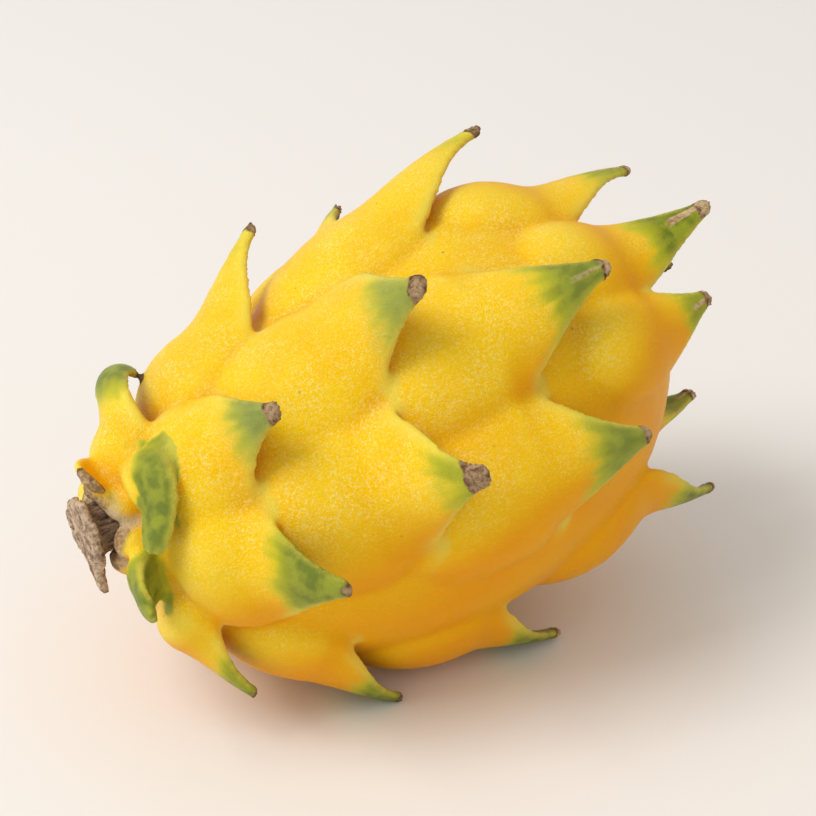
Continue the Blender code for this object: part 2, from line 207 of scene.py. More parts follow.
# station: where the leaf leaves the mound, from 0 at the stem end to 1 at the blossom end
# around: degrees from the top, toward -Y
# root, width: length and half-width of the mound; reach: length of the leaf
# lift: angle of the leaf off the rind; curl: how far it bends back; lean: sideways turn toward +around
# green: how much of the leaf is green; blue: how strong its grey-green bloom is
# strip: how strong the dried strip along its keel is; dried: where along the leaf the dried end begins
SCALES = (
    # small bracts about the stem
    Scale(0.050, 25, 4, 6.5, 17, 39, 40, 130, 1.8, 0.2, 0.0, 1.10),
    Scale(0.012, 88, 3, 6.0, 11, 56, 50, 5, 1.8, 0.1, 0.0, 1.10),
    Scale(0.018, 0, 3, 5.0, 8, 80, 30, 55, 0.3, 0.1, 0.8, 0.70),
    Scale(0.030, -95, 4, 5.0, 9, 40, 60, 0, 0.7, 0.1, 0.3, 0.85),
    # first ring of leaves
    Scale(0.056, -14, 10, 10.0, 22, 100, 205, -32, 1.0, 0.3, 0.0, 0.95),
    Scale(0.130, 30, 15, 13.5, 20, 38, 22, 13, 0.8, 1.0, 0.1, 0.86),
    Scale(0.117, 78, 14, 14.0, 23, 35, 12, 0, 1.0, 0.2, 0.0, 0.94),
    Scale(0.058, 136, 8, 10.0, 15, 22, 12, 0, 0.8, 0.0, 0.0, 0.94),
    Scale(0.150, -90, 16, 12.0, 15, 45, 20, 0, 0.6, 0.3, 0.2, 0.88),
    Scale(0.120, -150, 13, 11.0, 12, 25, 20, 0, 0.7, 0.1, 0.1, 0.90),
    # second ring
    Scale(0.221, -25, 18, 14.5, 30, 20, 15, -24, 0.35, 0.1, 0.3, 0.90),
    Scale(0.338, 20, 25, 16.5, 26, 43, 2, 27, 0.7, 1.0, 0.0, 0.86),
    Scale(0.305, 62, 24, 17.0, 26, 48, 2, 3, 0.6, 0.2, 0.0, 0.80),
    Scale(0.215, 143, 19, 13.5, 20, 18, 12, 12, 0.9, 0.1, 0.1, 0.94),
    Scale(0.350, -85, 24, 14.0, 17, 42, 20, 0, 0.6, 0.4, 0.2, 0.86),
    Scale(0.340, -130, 24, 14.0, 16, 40, 20, 0, 0.6, 0.2, 0.2, 0.88),
    Scale(0.300, -160, 22, 13.0, 12, 15, 20, 0, 0.7, 0.1, 0.2, 0.92),
    # third ring
    Scale(0.520, -20, 25, 15.0, 36, 14, 15, -16, 0.35, 0.1, 0.2, 0.88),
    Scale(0.552, 38, 27, 16.0, 27, 7, 10, -2, 0.8, 0.3, 0.5, 0.90),
    Scale(0.556, 78, 30, 17.0, 22, 10, 10, 1, 0.8, 0.5, 0.3, 0.93),
    Scale(0.472, 151, 26, 15.0, 23, 28, 20, 7, 1.0, 0.1, 0.9, 0.92),
    Scale(0.500, -60, 24, 14.0, 18, 40, 15, -12, 0.6, 0.2, 0.3, 0.88),
    Scale(0.590, -105, 26, 14.5, 18, 42, 20, 0, 0.7, 0.3, 0.5, 0.88),
    Scale(0.560, -174, 26, 15.0, 13, 8, 15, 0, 0.8, 0.1, 0.3, 0.92),
    # fourth ring
    Scale(0.795, -18, 24, 13.5, 27, 34, 20, -10, 0.7, 0.1, 0.9, 0.90),
    Scale(0.785, 142, 25, 14.5, 23, 50, 25, 16, 1.0, 0.1, 0.9, 0.92),
    Scale(0.740, -160, 24, 14.0, 12, 20, 20, 0, 0.9, 0.1, 0.4, 0.90),
    Scale(0.750, -58, 24, 14.0, 17, 34, 20, -5, 0.7, 0.2, 0.5, 0.88),
    Scale(0.780, -112, 24, 14.0, 20, 42, 10, 0, 0.8, 0.1, 0.6, 0.90),
    # crown about the blossom end
    Scale(0.832, 24, 20, 11.5, 25, 14, -34, -7, 1.0, 0.0, 1.0, 0.90),
    Scale(0.833, 58, 20, 11.0, 17, 8, -15, -8, 0.7, 0.1, 0.8, 0.88),
    Scale(0.905, 174, 12, 9.0, 15, 52, 20, 2, 1.0, 0.2, 0.7, 0.88),
    Scale(0.955, -22, 8, 6.5, 10, 20, 10, 10, 0.9, 0.1, 0.3, 0.90),
    Scale(0.915, -80, 16, 10.0, 14, 40, 10, 0, 0.9, 0.1, 0.5, 0.90),
    Scale(0.900, -145, 16, 11.0, 15, 45, 10, 0, 0.9, 0.1, 0.5, 0.90),
)


# ---------------------------------------------------------------- shape of the skin

def girth(station):
    """Radius of the bare fruit at a station."""
    bluntness = STEM_BLUNTNESS + (BLOSSOM_BLUNTNESS - STEM_BLUNTNESS) * station
    return GIRTH_RADIUS * math.sin(math.pi * station ** FULLEST) ** bluntness


def droop(station):
    """How far the fruit's middle hangs below its straight long axis."""
    return DROOP * np.exp(-((station - DROOP_STATION) / DROOP_SPREAD) ** 2)


def rind(station, around):
    """A point of the bare rind, with the directions along, across and out of it there."""
    step = 0.001
    slope = (girth(station + step) - girth(station - step)) / (2 * step * LENGTH)
    pitch = math.atan(slope)
    turn = math.radians(around)
    outward = np.array([0.0, -math.sin(turn), math.cos(turn)])
    across = np.array([0.0, -math.cos(turn), -math.sin(turn)])
    axis = np.array([1.0, 0.0, 0.0])
    along = math.cos(pitch) * axis + math.sin(pitch) * outward
    normal = math.cos(pitch) * outward - math.sin(pitch) * axis
    point = (station - 0.5) * LENGTH * axis + girth(station) * outward
    return point, along, across, normal


def mound_crest(scale):
    """Crest of the mound from its stem end to where the leaf begins: (place, point, along, across)."""
    crest = []
    station = scale.station
    for step in range(MOUND_STEPS):
        back = step / (MOUND_STEPS - 1)
        point, along, across, normal = rind(station, scale.around)
        rise = MOUND_RISE + (MOUND_START - MOUND_RISE) * back ** MOUND_SWELL
        crest.append((-back, point + rise * normal, along, across))
        station = max(station - along[0] * scale.root / (MOUND_STEPS - 1) / LENGTH, END_STATION)
    crest.reverse()
    return crest


def leaf_crest(scale):
    """Crest of the free leaf, bending away from the rind and then back: (place, point, along, across)."""
    point, along, across, normal = rind(scale.station, scale.around)
    point = point + MOUND_RISE * normal
    crest = []
    for step in range(1, LEAF_STEPS + 1):
        place = step / LEAF_STEPS
        middle = place - 0.5 / LEAF_STEPS
        bend = math.radians(scale.lift * (1 - math.exp(-middle / LIFT_ONSET)) - scale.curl * middle)
        turn = math.radians(scale.lean * min(1.0, middle / LEAN_SPAN))
        forward = math.cos(bend) * along + math.sin(bend) * normal
        heading = math.cos(turn) * forward + math.sin(turn) * across
        sideways = math.cos(turn) * across - math.sin(turn) * forward
        point = point + heading * scale.reach / LEAF_STEPS
        crest.append((place, point, heading, sideways))
    return crest


def tip_flare(place):
    """How much wider a leaf gets over its dried end."""
    return TIP_FLARE * max(0.0, (place - FLARE_START) / (1 - FLARE_START))


def tip_rounding(place):
    """How much thinner a leaf gets over its last stretch, which rounds its end."""
    return TIP_ROUNDING * max(0.0, (place - ROUNDING_START) / (1 - ROUNDING_START)) ** 2


def half_width(scale, place):
    """Half-width of a scale: a round-ended mound, then edges that run in to a narrow, flared tip."""
    if place <= 0:
        return scale.width * (1 - MOUND_ROUNDING * abs(place) ** 3)
    narrowing = LEAF_NARROWING if scale.root > BRACT_ROOT else BRACT_NARROWING
    spread = (1 - place) ** narrowing
    tip = TIP_HALF_WIDTH + tip_flare(place) - tip_rounding(place)
    return tip + (scale.width - TIP_HALF_WIDTH) * spread


def thickness(place):
    """Thickness of a scale: deep in the mound, thinning fast into the leaf."""
    if place <= 0:
        return MOUND_DEPTH
    tip = TIP_THICKNESS + 0.8 * tip_flare(place) - tip_rounding(place)
    return tip + (MOUND_DEPTH - TIP_THICKNESS) * math.exp(-place / THINNING)


def arch(place):
    """Radius of the crosswise arch of a scale."""
    if place <= 0:
        return MOUND_BEND
    return LEAF_BEND + (MOUND_BEND - LEAF_BEND) * math.exp(-place / ARCH_CHANGE)


def section(scale, place, point, along, across):
    """One arched lens-shaped section of a scale, hanging from its crest."""
    normal = np.cross(across, along)
    wide = half_width(scale, place)
    deep = thickness(place)
    angles = 2 * math.pi * np.arange(SECTION_POINTS) / SECTION_POINTS
    side = wide * np.cos(angles)
    swell = np.sign(np.sin(angles)) * np.abs(np.sin(angles)) ** EDGE_BLUNTNESS
    height = deep / 2 * (swell - 1) - side ** 2 / (2 * arch(place))
    return point + side[:, None] * across + height[:, None] * normal


def add_loft(mesh, rings):
    """Skin a row of rings with equal point counts and close both ends."""
    rows = [[mesh.verts.new(corner) for corner in ring] for ring in rings]
    count = len(rows[0])
    for near, far in zip(rows, rows[1:]):
        for index in range(count):
            after = (index + 1) % count
            mesh.faces.new((near[index], near[after], far[after], far[index]))
    mesh.faces.new(rows[0][::-1])
    mesh.faces.new(rows[-1])


def ring_about_axis(x, radius, turns):
    """Ring of points about the long axis; the radius is one number or one for each point."""
    return np.stack([np.full(len(turns), x), -radius * np.sin(turns), radius * np.cos(turns)], axis=1)


def add_turned(mesh, outline):
    """Closed turned body about X from (radius, x) points, both ends on the axis."""
    turns = 2 * math.pi * np.arange(TURN_STEPS) / TURN_STEPS
    add_loft(mesh, [ring_about_axis(x, radius, turns) for radius, x in outline[1:-1]])


def body_outline():
    """Outline of the bare fruit from the stem pole to the blossom pole."""
    turns = math.pi * np.arange(PROFILE_STEPS + 1) / PROFILE_STEPS
    stations = END_STATION + (1 - 2 * END_STATION) * 0.5 * (1 - np.cos(turns))
    outline = [(girth(station), (station - 0.5) * LENGTH) for station in stations]
    return [(0.0, outline[0][1])] + outline + [(0.0, outline[-1][1])]


def sag(points):
    """Points lowered by the droop at their station."""
    lowered = np.array(points, dtype=float)
    lowered[:, 2] -= droop(lowered[:, 0] / LENGTH + 0.5)
    return lowered


def mesh_object(name, mesh):
    """Turn a bmesh into an object of the scene."""
    bmesh.ops.recalc_face_normals(mesh, faces=mesh.faces)
    data = bpy.data.meshes.new(name)
    mesh.to_mesh(data)
    mesh.free()
    thing = bpy.data.objects.new(name, data)
    bpy.context.scene.collection.objects.link(thing)
    return thing


def turned_cutter(name, outline, height=0.0):
    """Turned cutter for a Boolean, its axis at a height over the long axis."""
    mesh = bmesh.new()
    add_turned(mesh, outline)
    cutter = mesh_object(name, mesh)
    cutter.location = (0.0, 0.0, height)
    return cutter


def crater_cutter():
    """Round-bottomed hollow left by the flower."""
    rim = LENGTH / 2 + CRATER_OPENING
    floor = LENGTH / 2 - CRATER_DEPTH
    outline = [(0.0, rim), (CRATER_RADIUS, rim)]
    for index in range(CRATER_STEPS + 1):
        angle = math.pi / 2 * index / CRATER_STEPS
        radius = CRATER_RADIUS * math.cos(angle) ** CRATER_BLUNTNESS + LEAST_RADIUS
        outline.append((radius, floor + CRATER_ROUNDING * (1 - math.sin(angle))))
    return turned_cutter("crater_cutter", outline + [(0.0, floor)])


def socket_cutter():
    """Hole that the stem's neck stands in."""
    inner = -LENGTH / 2 + NECK_ROOT + GAP
    outer = -LENGTH / 2 - SOCKET_OPENING
    radius = NECK_RADIUS + GAP
    outline = [(0.0, inner), (radius, inner), (radius, outer), (0.0, outer)]
    return turned_cutter("socket_cutter", outline, STEM_RISE - float(droop(0.0)))


def add_collar(mesh):
    """Uneven lobes of rind that stand about the stem's neck."""
    for turn, size in COLLAR_LOBES:
        angle = math.radians(turn)
        lobe = bmesh.ops.create_uvsphere(mesh, u_segments=24, v_segments=16, radius=1.0)["verts"]
        bmesh.ops.scale(mesh, vec=(size * COLLAR_STRETCH, size, size), verts=lobe)
        y = -COLLAR_OFFSET * math.sin(angle)
        z = COLLAR_OFFSET * math.cos(angle) + STEM_RISE
        bmesh.ops.translate(mesh, vec=(-LENGTH / 2 + COLLAR_INSET, y, z), verts=lobe)


def add_remesh(thing):
    """Voxel remesh at the skin's fineness."""
    remesh = thing.modifiers.new("grow together", "REMESH")
    remesh.mode = "VOXEL"
    remesh.voxel_size = VOXEL


def grown_skin():
    """Body and scales grown into one skin of even small faces, with crater and stem socket."""
    mesh = bmesh.new()
    add_turned(mesh, body_outline())
    for scale in SCALES:
        crest = mound_crest(scale) + leaf_crest(scale)
        add_loft(mesh, [section(scale, *station) for station in crest])
    add_collar(mesh)
    for vertex in mesh.verts:
        vertex.co.z -= float(droop(vertex.co.x / LENGTH + 0.5))
    skin = mesh_object("fruit_skin", mesh)
    add_remesh(skin)
    cutters = [crater_cutter(), socket_cutter()]
    for cutter in cutters:
        boolean = skin.modifiers.new("cut", "BOOLEAN")
        boolean.object = cutter
        boolean.operation = "DIFFERENCE"
    add_remesh(skin)
    bpy.context.view_layer.update()
    graph = bpy.context.evaluated_depsgraph_get()
    data = bpy.data.meshes.new_from_object(skin.evaluated_get(graph))
    skin.modifiers.clear()
    skin.data = data
    for cutter in cutters:
        bpy.data.objects.remove(cutter)
    return skin


# ---------------------------------------------------------------- working on the skin's points

def read_points(data):
    """Vertex positions of a mesh as an array."""
    flat = np.empty(len(data.vertices) * 3)
    data.vertices.foreach_get("co", flat)
    return flat.reshape(-1, 3)


def write_points(data, points):
    """Put an array of positions back into a mesh."""
    data.vertices.foreach_set("co", points.ravel())
    data.update()


def read_normals(data):
    """Vertex normals of a mesh as an array."""
    flat = np.empty(len(data.vertices) * 3)
    data.vertex_normals.foreach_get("vector", flat)
    return flat.reshape(-1, 3)


def read_edges(data):
    """Edge end points of a mesh as an array of index pairs."""
    flat = np.empty(len(data.edges) * 2, dtype=np.int64)
    data.edges.foreach_get("vertices", flat)
    return flat.reshape(-1, 2)


class Neighbours:
    """Averages over the vertices next to each vertex."""

    def __init__(self, edges, count):
        self.first = np.concatenate([edges[:, 0], edges[:, 1]])
        self.second = np.concatenate([edges[:, 1], edges[:, 0]])
        self.count = count
        self.degree = np.maximum(np.bincount(self.first, minlength=count), 1)

    def mean(self, values):
        """Mean of the neighbours' values, for one column or several."""
        if values.ndim == 1:
            return np.bincount(self.first, values[self.second], self.count) / self.degree
        return np.stack([self.mean(values[:, column]) for column in range(values.shape[1])], axis=1)

    def smooth(self, values, rounds, weight=0.5):
        """Values relaxed towards their neighbours, by one weight or one for each vertex."""
        if values.ndim == 2:
            weight = np.reshape(weight, (-1, 1))
        for _ in range(rounds):
            values = values + (self.mean(values) - values) * weight
        return values


def ease(low, high, value):
    """Smooth step from 0 at low to 1 at high."""
    part = np.clip((value - low) / (high - low), 0.0, 1.0)
    return part * part * (3 - 2 * part)


def leaf_fit(points, scale):
    """Points near a leaf: their numbers, distances off it, places along it and side offsets."""
    crest = mound_crest(scale)[-1:] + leaf_crest(scale)
    places = np.array([station[0] for station in crest])
    spine = sag([station[1] for station in crest])
    alongs = np.array([station[2] for station in crest])
    acrosses = np.array([station[3] for station in crest])
    normals = np.cross(acrosses, alongs)
    widths = np.array([half_width(scale, value) for value in places])
    arches = np.array([arch(value) for value in places])
    depths = np.array([thickness(value) for value in places])

    margin = scale.width + 2.0
    inside = (points > spine.min(axis=0) - margin) & (points < spine.max(axis=0) + margin)
    near = np.nonzero(inside.all(axis=1))[0]
    local = points[near][:, None, :] - spine[None, :, :]
    sides = np.clip((local * acrosses).sum(axis=2), -widths, widths)
    middles = sides[..., None] * acrosses - (sides ** 2 / (2 * arches))[..., None] * normals
    middles -= (depths / 2)[:, None] * normals
    gaps = np.linalg.norm(local - middles, axis=2)

    best = gaps.argmin(axis=1)
    rows = np.arange(len(near))
    off = gaps[rows, best] - depths[best] / 2
    step = (local[rows, best] * alongs[best]).sum(axis=1) / scale.reach
    place = places[best] + np.clip(step, -1 / LEAF_STEPS, 1 / LEAF_STEPS)
    return near, off, place, sides[rows, best] / widths[best]


def leaf_coordinates(points):
    """For every point, the leaf it lies on: its place along the leaf, side offset and scale number."""
    place = np.full(len(points), -1.0)
    side = np.zeros(len(points))
    owner = np.full(len(points), -1)
    nearest = np.full(len(points), 0.5)
    for number, scale in enumerate(SCALES):
        near, off, near_place, near_side = leaf_fit(points, scale)
        better = off < nearest[near]
        chosen = near[better]
        nearest[chosen] = off[better]
        place[chosen] = near_place[better]
        side[chosen] = near_side[better]
        owner[chosen] = number
    return place, side, owner


def noise_at(points, size, seed):
    """Smooth noise from -1 to 1 with features of the given size."""
    shift = Vector((seed * 17.3, seed * 5.9, seed * 11.1))
    return np.array([noise.noise(Vector(point) / size + shift) for point in points])


def stretch_noise(place, side, owner, seed):
    """Noise in a leaf's own coordinates, drawn out along its length."""
    values = zip(place, side, owner)
    return np.array([noise.noise(Vector((p * 5.0, s * 7.0, o * 3.7 + seed))) for p, s, o in values])


def blossom_scar(points, fine):
    """Crater, its deep pit, dried lip, folds and style stub of the blossom scar, at every point."""
    height = points[:, 2] + droop(1.0)
    offset = np.hypot(points[:, 1], height) + 0.5 * fine
    near_end = ease(LENGTH / 2 - 12, LENGTH / 2 - 9, points[:, 0])
    crater = ease(CRATER_RADIUS + 1.4, CRATER_RADIUS - 0.2, offset) * near_end
    pit = crater * ease(8.0, 5.0, offset)
    lip = np.exp(-((offset - CRATER_RADIUS - LIP_OFFSET) / LIP_WIDTH) ** 2) * near_end
    turn = np.arctan2(points[:, 1], height)
    ring = [FOLD_COUNT * np.cos(turn), FOLD_COUNT * np.sin(turn), FOLD_DRIFT * offset]
    folds = noise_at(np.stack(ring, axis=1), 1.0, 6)
    style = np.exp(-(offset / STYLE_RADIUS) ** 2) * crater
    return crater, pit, lip, folds, style


def leaf_masks(place, side, owner, wander, fine):
    """Green, dried, strip and edge parts of the leaves, at every point."""
    columns = [[scale.green, scale.blue, scale.strip, scale.dried] for scale in SCALES]
    columns.append([0, 0, 0, 2])    # the last row is for points on no leaf
    green_part, blue_part, strip_part, dried_from = np.array(columns)[owner].T
    reach = np.maximum(place, 0.0) + 0.07 * wander
    green = ease(0.62 - 0.50 * green_part, 1.0 - 0.38 * green_part, reach)
    green *= np.minimum(green_part, 1.0) * ease(0.0, 0.12, place)
    dry = ease(-0.03, 0.04, reach - dried_from + 0.05 * fine)
    strip = strip_part * ease(0.30, 0.14, np.abs(side + 0.25 * wander)) * ease(0.45, 0.8, reach)
    edge = ease(0.78, 0.97, np.abs(side)) * ease(0.10, 0.25, reach) * (1 - dry)
    pale = np.minimum(strip_part * 1.6, 1.0)
    return {"green": green, "blue": blue_part * green, "dry": dry, "strip": strip, "edge": edge,
            "pale": pale}


def finish_skin(skin):
    """Soften the creases, give the skin its relief and store the masks that the material reads."""
    data = skin.data
    points = read_points(data)
    around = Neighbours(read_edges(data), len(points))
    place, side, owner = leaf_coordinates(points)
    stiff = around.smooth(ease(0.05, 0.5, place), 4)
    points = around.smooth(points, SMOOTHING_ROUNDS, SMOOTHING * (1 - LEAF_STIFFNESS * stiff))
    broad = around.smooth(points, BROAD_ROUNDS, BROAD_SMOOTHING)
    write_points(data, points)
    normals = read_normals(data)
    convex = ((points - broad) * normals).sum(axis=1)
    wander = noise_at(points, 5.0, 1)
    fine = noise_at(points, 1.6, 2)
    wrinkle = stretch_noise(place * 0.7, side * 1.7, owner, 0.0)
    streak = stretch_noise(place * 0.5, side * 1.2, owner, 5.0)

    masks = leaf_masks(place, side, owner, wander, fine)
    crater, pit, lip, folds, style = blossom_scar(points, fine)
    stem_gap = np.hypot(points[:, 1], points[:, 2] + droop(0.0) - STEM_RISE)
    collar = ease(10.5, 7.0, stem_gap + 1.6 * wander)
    collar *= ease(-LENGTH / 2 + 6, -LENGTH / 2 + 3, points[:, 0])
    masks["crater"] = crater
    masks["pit"] = pit
    masks["folds"] = 0.5 + 0.5 * folds
    masks["collar"] = collar
    masks["streak"] = 0.5 + 0.5 * streak
    # Mask for painted shade in the hollows
    masks["hollow"] = ease(0.10, -0.9, convex)
    # Mask for a painted highlight on the swells
    masks["convex"] = ease(0.0, 0.9, convex)
    # Mask for painted light: how far a point faces the light's side
    masks["painted_lit_side"] = ease(-0.45, 0.95, around.smooth(normals, 8) @ PAINTED_LIGHT_SIDE)

    lift = WAVES * noise_at(points, 11.0, 3) * (1 - stiff) + PIMPLES * noise_at(points, 2.6, 4)
    lift += masks["dry"] * (TIP_WRINKLES * wrinkle + TIP_GRIT * fine)
    lift += masks["strip"] * STRIP_WRINKLES * wrinkle
    lift += crater * (CRATER_GRIT * fine + CRATER_FOLDS * folds)
    lift += lip * (LIP_RISE + LIP_FOLDS * folds)
    lift += style * STYLE_RISE
    lift += collar * COLLAR_GRIT * fine
    write_points(data, points + lift[:, None] * normals)

    for name, values in masks.items():
        layer = data.attributes.new(name, "FLOAT", "POINT")
        layer.data.foreach_set("value", around.smooth(values, 2).astype(np.float32))


def settle(points, shift):
    """From the fruit's own millimetres to the object's metres: tilted, lifted, moved and rested."""
    tilt = math.radians(TILT)
    x = points[:, 0] * math.cos(tilt) - points[:, 2] * math.sin(tilt)
    z = points[:, 0] * math.sin(tilt) + points[:, 2] * math.cos(tilt) + AXIS_HEIGHT
    settled = np.stack([x, points[:, 1], np.maximum(z, 0.0)], axis=1) * MM
    settled[:, :2] += shift
    return settled


# ---------------------------------------------------------------- stem stub

def stem_outline():
    """Stations of the stem from its root to the middle of its face: (x, radius, raggedness)."""
    inner = -LENGTH / 2 + NECK_ROOT
    shoulder = inner - NECK_LENGTH
    outline = [(inner, NECK_RADIUS * 0.9, 0.0)]
    for part in np.linspace(0.08, 0.95, 18):
        waist = 1 - NECK_WAIST * math.sin(math.pi * part)
        outline.append((inner - NECK_LENGTH * part, NECK_RADIUS * waist, 0.0))
    outline.append((shoulder, NECK_RADIUS * 1.04, 0.1))
    outline.append((shoulder - 0.25, PLATE_RADIUS * 0.86, 0.7))
    outline.append((shoulder - 0.45, PLATE_RADIUS * 0.97, 0.9))
    for part in (0.35, 0.5, 0.65):
        outline.append((shoulder - PLATE_THICKNESS * part, PLATE_RADIUS, 1.0))
    outline.append((shoulder - PLATE_THICKNESS * 0.85, PLATE_RADIUS * 0.95, 1.0))
    for part in (0.85, 0.7, 0.55, 0.4, 0.25, 0.12):
        outline.append((shoulder - PLATE_THICKNESS * 0.95, PLATE_RADIUS * part, part))
    return outline


def noise_around(turns, closeness, seed):
    """Noise once round a ring, with more features the larger the closeness."""
    ring = [Vector((closeness * math.cos(turn), closeness * math.sin(turn), seed)) for turn in turns]
    return np.array([noise.noise(point) for point in ring])


def build_stem():
    """Dry fibrous neck and the torn woody plate at its end."""
    turns = 2 * math.pi * np.arange(STEM_POINTS) / STEM_POINTS
    torn = 0.08 * np.sin(3 * turns + 0.7) + 0.05 * np.sin(7 * turns) + 0.10 * noise_around(turns, 2.2, 4.0)
    fibres = 0.05 * noise_around(turns, 6.0, 9.0)
    offset = (turns - math.radians(SPLINTER_TURN)) / math.radians(SPLINTER_SPREAD)
    splinter = SPLINTER * np.exp(-offset ** 2)
    rings = []
    for x, radius, ragged in stem_outline():
        reach = radius * (1 + ragged * torn + fibres) + ragged * splinter
        rings.append(ring_about_axis(x, reach, turns))
    mesh = bmesh.new()
    add_loft(mesh, rings)
    stem = mesh_object("stem_stub", mesh)
    data = stem.data

    points = read_points(data)
    inner = -LENGTH / 2 + NECK_ROOT
    shoulder = inner - NECK_LENGTH
    rough = 0.32 * noise_at(points, 1 / 0.9, 0)
    grain = 0.22 * noise_at(points * (0.5, 2.4, 2.4), 1.0, 0)
    outside = 1 - ease(inner - 1.5, inner - 0.5, points[:, 0])
    points = points + ((rough + grain) * outside)[:, None] * read_normals(data)
    points[:, 2] += STEM_RISE - float(droop(0.0))
    write_points(data, points)
    plate = ease(shoulder + 0.6, shoulder - 0.4, points[:, 0])
    layer = data.attributes.new("plate", "FLOAT", "POINT")
    layer.data.foreach_set("value", plate.astype(np.float32))
    return stem


# ---------------------------------------------------------------- materials

class Paint:
    """Short calls for building one material's nodes."""

    def __init__(self, name):
        self.material = bpy.data.materials.new(name)
        self.material.use_nodes = True
        self.tree = self.material.node_tree
        self.shader = self.tree.nodes["Principled BSDF"]

    def node(self, kind, **settings):
        """New node with its settings."""
        made = self.tree.nodes.new(kind)
        for key, value in settings.items():
            setattr(made, key, value)
        return made

    def put(self, socket, value):
        """Link a socket to a socket, or set its plain value."""
        if isinstance(value, bpy.types.NodeSocket):
            self.tree.links.new(value, socket)
        elif isinstance(value, tuple) and len(value) == 3 and socket.type == "RGBA":
            socket.default_value = (*value, 1.0)
        else:
            socket.default_value = value

    def give(self, name, value):
        """Link or set one of the shader's own sockets."""
        self.put(self.shader.inputs[name], value)

    def mask(self, name):
        """Mask that is stored on the mesh."""
        return self.node("ShaderNodeAttribute", attribute_name=name).outputs["Fac"]

    def place(self, stretch=(1.0, 1.0, 1.0)):
        """Object coordinates in millimetres, stretched."""
        where = self.node("ShaderNodeTexCoord").outputs["Object"]
        mapping = self.node("ShaderNodeMapping")
        self.put(mapping.inputs["Vector"], where)
        mapping.inputs["Scale"].default_value = tuple(value / MM for value in stretch)
        return mapping.outputs["Vector"]

    def noise(self, where, size, detail=2.0, rough=0.5):
        """Soft noise from 0 to 1 with features of the given size."""
        made = self.node("ShaderNodeTexNoise")
        self.put(made.inputs["Vector"], where)
        made.inputs["Scale"].default_value = 1.0 / size
        made.inputs["Detail"].default_value = detail
        made.inputs["Roughness"].default_value = rough
        return made.outputs["Fac"]

    def cells(self, where, size, feature="F1"):
        """Distances in a pattern of cells of the given size."""
        made = self.node("ShaderNodeTexVoronoi", feature=feature)
        self.put(made.inputs["Vector"], where)
        made.inputs["Scale"].default_value = 1.0 / size
        return made.outputs["Distance"]

    def math(self, operation, first, second):
        """One operation on two values."""
        made = self.node("ShaderNodeMath", operation=operation)
        self.put(made.inputs[0], first)
        self.put(made.inputs[1], second)
        return made.outputs[0]

    def sum(self, first, second):
        """Sum of two values."""
        return self.math("ADD", first, second)

    def product(self, first, second):
        """Product of two values."""
        return self.math("MULTIPLY", first, second)

    def span(self, value, low, high, start=0.0, end=1.0):
        """Value mapped smoothly from low..high to start..end, and held beyond."""
        made = self.node("ShaderNodeMapRange", interpolation_type="SMOOTHSTEP")
        self.put(made.inputs["Value"], value)
        limits = {"From Min": low, "From Max": high, "To Min": start, "To Max": end}
        for socket, number in limits.items():
            made.inputs[socket].default_value = number
        return made.outputs["Result"]

    def mix(self, factor, first, second):
        """Colour between two colours."""
        made = self.node("ShaderNodeMix", data_type="RGBA")
        self.put(made.inputs[0], factor)
        self.put(made.inputs[6], first)
        self.put(made.inputs[7], second)
        return made.outputs[2]

    def bump(self, height, distance, below=None):
        """Bumped normal, over another one if given."""
        made = self.node("ShaderNodeBump")
        made.inputs["Distance"].default_value = distance * MM
        self.put(made.inputs["Height"], height)
        if below is not None:
            self.put(made.inputs["Normal"], below)
        return made.outputs["Normal"]


def rind_yellow(paint, where, pores, net):
    """Yellow of the rind with painted light: painted shade deepens it in hollows and on the side away from
    the light, a painted highlight lightens the lit side and its swells, with cream speckle and a few
    freckles.
    """
    painted_lit_side = paint.mask("painted_lit_side")
    # painted light: deeper orange on the side away from the light, lighter yellow on the lit side
    colour = paint.mix(paint.span(painted_lit_side, 0.36, 1.0), PAINTED_SHADE_YELLOW, PAINTED_LIT_YELLOW)
    patches = paint.span(paint.noise(where, PATCH_SIZE), 0.35, 0.70, 0.0, 0.40)
    colour = paint.mix(patches, colour, PATCH_YELLOW)
    # painted highlight: paler yellow on swells that face the light
    painted_highlights = paint.product(paint.mask("convex"), paint.span(painted_lit_side, 0.42, 1.0, 0.06, 0.95))
    colour = paint.mix(painted_highlights, colour, PAINTED_HIGHLIGHT_YELLOW)
    # painted shade: deeper orange in creases and hollows
    colour = paint.mix(paint.product(paint.mask("hollow"), 0.75), colour, PAINTED_HOLLOW_SHADE)

    # cream speckle: fine grain over a broken net of short lines, a real pattern that is painted stronger
    # and paler on the lit side as a painted sheen
    broken = paint.product(net, paint.span(pores, 0.42, 0.62, 0.0, 0.34))
    grain = paint.span(paint.noise(where, GRAIN_SIZE, 2.0, 0.6), 0.50, 0.66, 0.0, 0.42)
    speckle_and_sheen = paint.span(paint.noise(where, SPECKLE_PATCH), 0.35, 0.65, 0.45, 1.0)
    speckle_and_sheen = paint.product(speckle_and_sheen, paint.span(painted_lit_side, 0.35, 1.0, 0.05, 1.0))
    cream = paint.mix(paint.span(painted_lit_side, 0.60, 1.0), PAINTED_SHADE_CREAM, PAINTED_LIT_CREAM)
    colour = paint.mix(paint.product(paint.sum(broken, grain), speckle_and_sheen), colour, cream)

    dots = paint.span(paint.cells(where, FRECKLE_SPACING), 0.085, 0.045)
    some = paint.span(paint.noise(where, FRECKLE_PATCH, 1.0), 0.54, 0.62)
    freckles = paint.product(paint.product(dots, some), 0.6)
    return paint.mix(freckles, colour, FRECKLE_BROWN)


